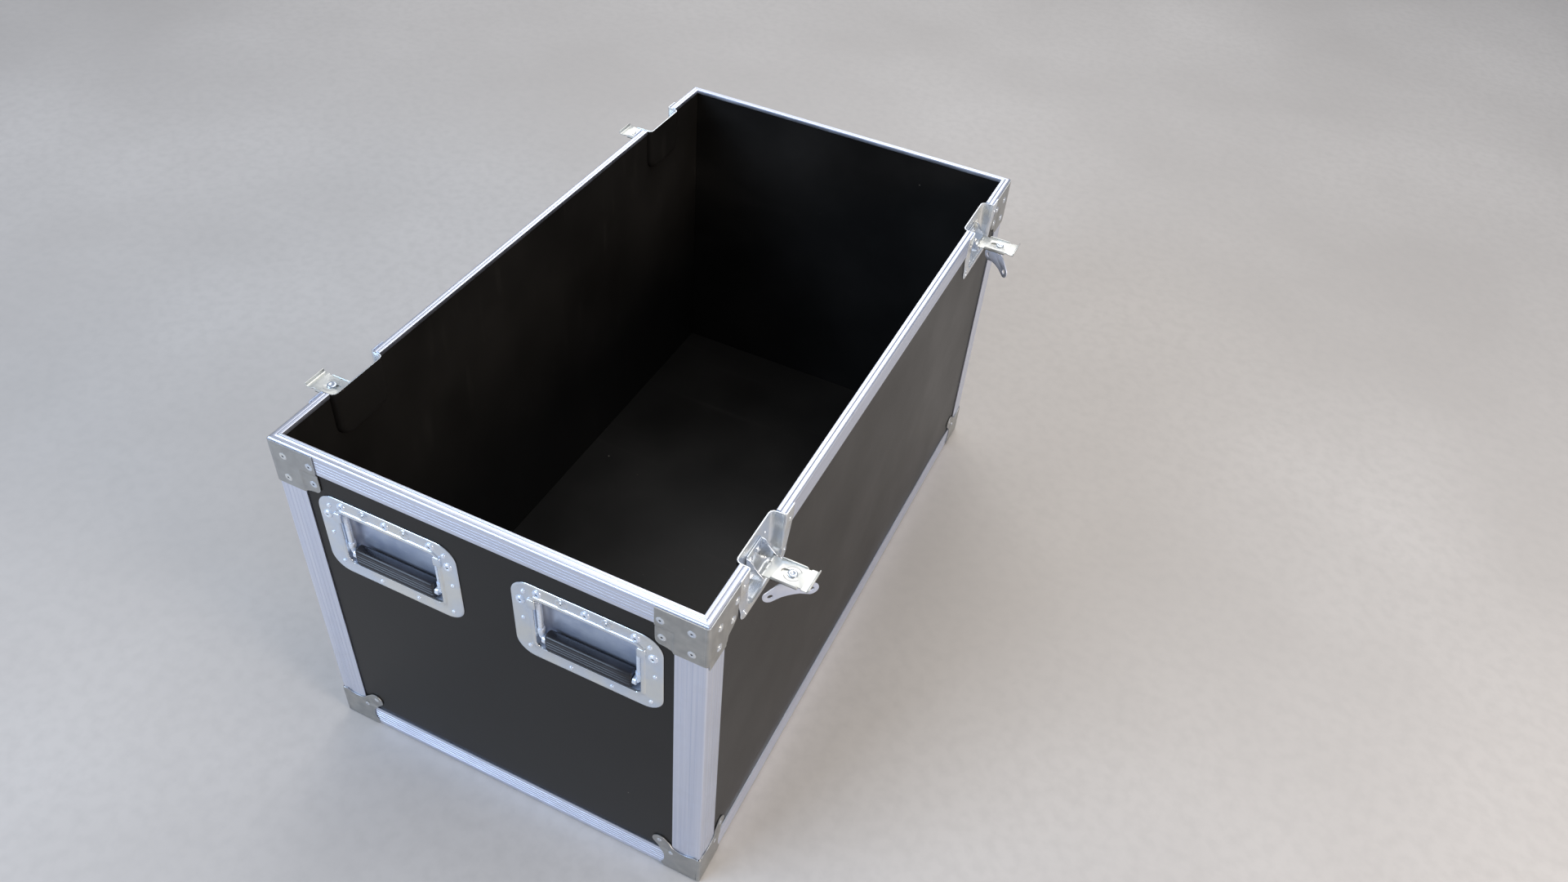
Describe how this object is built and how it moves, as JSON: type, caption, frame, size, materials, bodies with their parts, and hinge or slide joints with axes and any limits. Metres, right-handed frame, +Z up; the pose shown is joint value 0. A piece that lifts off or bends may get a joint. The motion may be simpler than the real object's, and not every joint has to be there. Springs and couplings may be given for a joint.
{
  "type": "equipment case base",
  "caption": "Open-topped base of a trunk style equipment case: black laminated panels in aluminium edging, pressed steel corners, recessed sprung handles and recessed butterfly latches.",
  "frame": {"origin": "on the ground, under the middle of the case", "axes": "+X across the short width, +Y from the end with the handles to the far end, +Z up"},
  "size_m": [0.5656, 0.8378, 0.4418],
  "materials": {
    "laminate": "satin black laminate on plywood",
    "aluminium": "satin extruded",
    "zinc_steel": "matte zinc plated",
    "bright_zinc": "bright zinc plated",
    "bright_steel": "bright plated rod",
    "grip_rubber": "satin black moulded"
  },
  "bodies": {
    "case": {"floor_panel": "laminate", "front_panel": "laminate", "back_panel": "laminate", "left_panel": "laminate", "right_panel": "laminate", "post_front_left": "aluminium", "post_front_right": "aluminium", "post_back_left": "aluminium", "post_back_right": "aluminium", "bottom_edge_front": "aluminium", "bottom_edge_back": "aluminium", "bottom_edge_left": "aluminium", "bottom_edge_right": "aluminium", "rim_front": "aluminium", "rim_back": "aluminium", "rim_left": "aluminium", "rim_right": "aluminium", "cap_front_left": "zinc_steel", "cap_front_right": "zinc_steel", "cap_back_left": "zinc_steel", "cap_back_right": "zinc_steel", "brace_front_left": "zinc_steel", "brace_front_right": "zinc_steel", "brace_back_left": "zinc_steel", "brace_back_right": "zinc_steel", "handle_left_dish": "bright_zinc", "handle_right_dish": "bright_zinc", "latch_right_front_dish": "bright_zinc", "latch_right_front_bracket": "bright_zinc", "latch_right_back_dish": "bright_zinc", "latch_right_back_bracket": "bright_zinc", "latch_left_front_dish": "bright_zinc", "latch_left_front_bracket": "bright_zinc", "latch_left_back_dish": "bright_zinc", "latch_left_back_bracket": "bright_zinc"},
    "handle_left": {"handle_left_bail": "bright_steel", "handle_left_grip": "grip_rubber"},
    "handle_right": {"handle_right_bail": "bright_steel", "handle_right_grip": "grip_rubber"},
    "latch_right_front_arm": {"latch_right_front_arm": "bright_zinc"},
    "latch_right_front_hook_plate": {"latch_right_front_hook_plate": "bright_zinc"},
    "latch_right_front_spindle": {"latch_right_front_spindle": "bright_zinc"},
    "latch_right_front_wing": {"latch_right_front_wing": "bright_zinc"},
    "latch_right_back_arm": {"latch_right_back_arm": "bright_zinc"},
    "latch_right_back_hook_plate": {"latch_right_back_hook_plate": "bright_zinc"},
    "latch_right_back_spindle": {"latch_right_back_spindle": "bright_zinc"},
    "latch_right_back_wing": {"latch_right_back_wing": "bright_zinc"},
    "latch_left_front_arm": {"latch_left_front_arm": "bright_zinc"},
    "latch_left_front_hook_plate": {"latch_left_front_hook_plate": "bright_zinc"},
    "latch_left_front_spindle": {"latch_left_front_spindle": "bright_zinc"},
    "latch_left_front_wing": {"latch_left_front_wing": "bright_zinc"},
    "latch_left_back_arm": {"latch_left_back_arm": "bright_zinc"},
    "latch_left_back_hook_plate": {"latch_left_back_hook_plate": "bright_zinc"},
    "latch_left_back_spindle": {"latch_left_back_spindle": "bright_zinc"},
    "latch_left_back_wing": {"latch_left_back_wing": "bright_zinc"}
  },
  "joints": [
    {"name": "handle_left_hinge", "type": "hinge", "parent": "case", "child": "handle_left", "pos_m": [-0.1101, -0.4127, 0.365], "axis": [-1, 0, 0], "range_deg": [0, 90], "stiffness_Nm_per_rad": 0.05, "springref_deg": -20.05},
    {"name": "handle_right_hinge", "type": "hinge", "parent": "case", "child": "handle_right", "pos_m": [0.1101, -0.4127, 0.365], "axis": [-1, 0, 0], "range_deg": [0, 90], "stiffness_Nm_per_rad": 0.05, "springref_deg": -20.05},
    {"name": "latch_right_front_arm_hinge", "type": "hinge", "parent": "case", "child": "latch_right_front_arm", "pos_m": [0.2363, -0.306, 0.4058], "axis": [0, -1, 0], "range_deg": [0, 90]},
    {"name": "latch_right_front_hook_slide", "type": "slide", "parent": "latch_right_front_arm", "child": "latch_right_front_hook_plate", "axis": [1, 0, 0], "range_m": [-0.0012, 0.0078]},
    {"name": "latch_right_front_spindle_turn", "type": "hinge", "parent": "latch_right_front_arm", "child": "latch_right_front_spindle", "pos_m": [0.2605, -0.306, 0.4058], "axis": [0, 0, 1], "range_deg": [-15, 109]},
    {"name": "latch_right_front_wing_fold", "type": "hinge", "parent": "latch_right_front_spindle", "child": "latch_right_front_wing", "pos_m": [0.2605, -0.306, 0.4026], "axis": [-0.7314, -0.682, 0], "range_deg": [0, 88]},
    {"name": "latch_right_back_arm_hinge", "type": "hinge", "parent": "case", "child": "latch_right_back_arm", "pos_m": [0.2363, 0.306, 0.4058], "axis": [0, -1, 0], "range_deg": [0, 90]},
    {"name": "latch_right_back_hook_slide", "type": "slide", "parent": "latch_right_back_arm", "child": "latch_right_back_hook_plate", "axis": [1, 0, 0], "range_m": [-0.0012, 0.0078]},
    {"name": "latch_right_back_spindle_turn", "type": "hinge", "parent": "latch_right_back_arm", "child": "latch_right_back_spindle", "pos_m": [0.2605, 0.306, 0.4058], "axis": [0, 0, -1], "range_deg": [-15, 109]},
    {"name": "latch_right_back_wing_fold", "type": "hinge", "parent": "latch_right_back_spindle", "child": "latch_right_back_wing", "pos_m": [0.2605, 0.306, 0.4026], "axis": [0.7314, -0.682, 0], "range_deg": [0, 88]},
    {"name": "latch_left_front_arm_hinge", "type": "hinge", "parent": "case", "child": "latch_left_front_arm", "pos_m": [-0.2363, -0.306, 0.4058], "axis": [0, 1, 0], "range_deg": [0, 90]},
    {"name": "latch_left_front_hook_slide", "type": "slide", "parent": "latch_left_front_arm", "child": "latch_left_front_hook_plate", "axis": [-1, 0, 0], "range_m": [-0.0012, 0.0078]},
    {"name": "latch_left_front_spindle_turn", "type": "hinge", "parent": "latch_left_front_arm", "child": "latch_left_front_spindle", "pos_m": [-0.2605, -0.306, 0.4058], "axis": [0, 0, -1], "range_deg": [-15, 109]},
    {"name": "latch_left_front_wing_fold", "type": "hinge", "parent": "latch_left_front_spindle", "child": "latch_left_front_wing", "pos_m": [-0.2605, -0.306, 0.4026], "axis": [-0.7314, 0.682, 0], "range_deg": [0, 88]},
    {"name": "latch_left_back_arm_hinge", "type": "hinge", "parent": "case", "child": "latch_left_back_arm", "pos_m": [-0.2363, 0.306, 0.4058], "axis": [0, 1, 0], "range_deg": [0, 90]},
    {"name": "latch_left_back_hook_slide", "type": "slide", "parent": "latch_left_back_arm", "child": "latch_left_back_hook_plate", "axis": [-1, 0, 0], "range_m": [-0.0012, 0.0078]},
    {"name": "latch_left_back_spindle_turn", "type": "hinge", "parent": "latch_left_back_arm", "child": "latch_left_back_spindle", "pos_m": [-0.2605, 0.306, 0.4058], "axis": [0, 0, 1], "range_deg": [-15, 109]},
    {"name": "latch_left_back_wing_fold", "type": "hinge", "parent": "latch_left_back_spindle", "child": "latch_left_back_wing", "pos_m": [-0.2605, 0.306, 0.4026], "axis": [0.7314, 0.682, 0], "range_deg": [0, 88]}
  ],
  "couplings": [
    {"joint": "latch_right_front_hook_slide", "follows": "latch_right_front_spindle_turn", "m_per_rad": 0.004},
    {"joint": "latch_right_back_hook_slide", "follows": "latch_right_back_spindle_turn", "m_per_rad": 0.004},
    {"joint": "latch_left_front_hook_slide", "follows": "latch_left_front_spindle_turn", "m_per_rad": 0.004},
    {"joint": "latch_left_back_hook_slide", "follows": "latch_left_back_spindle_turn", "m_per_rad": 0.004}
  ]
}
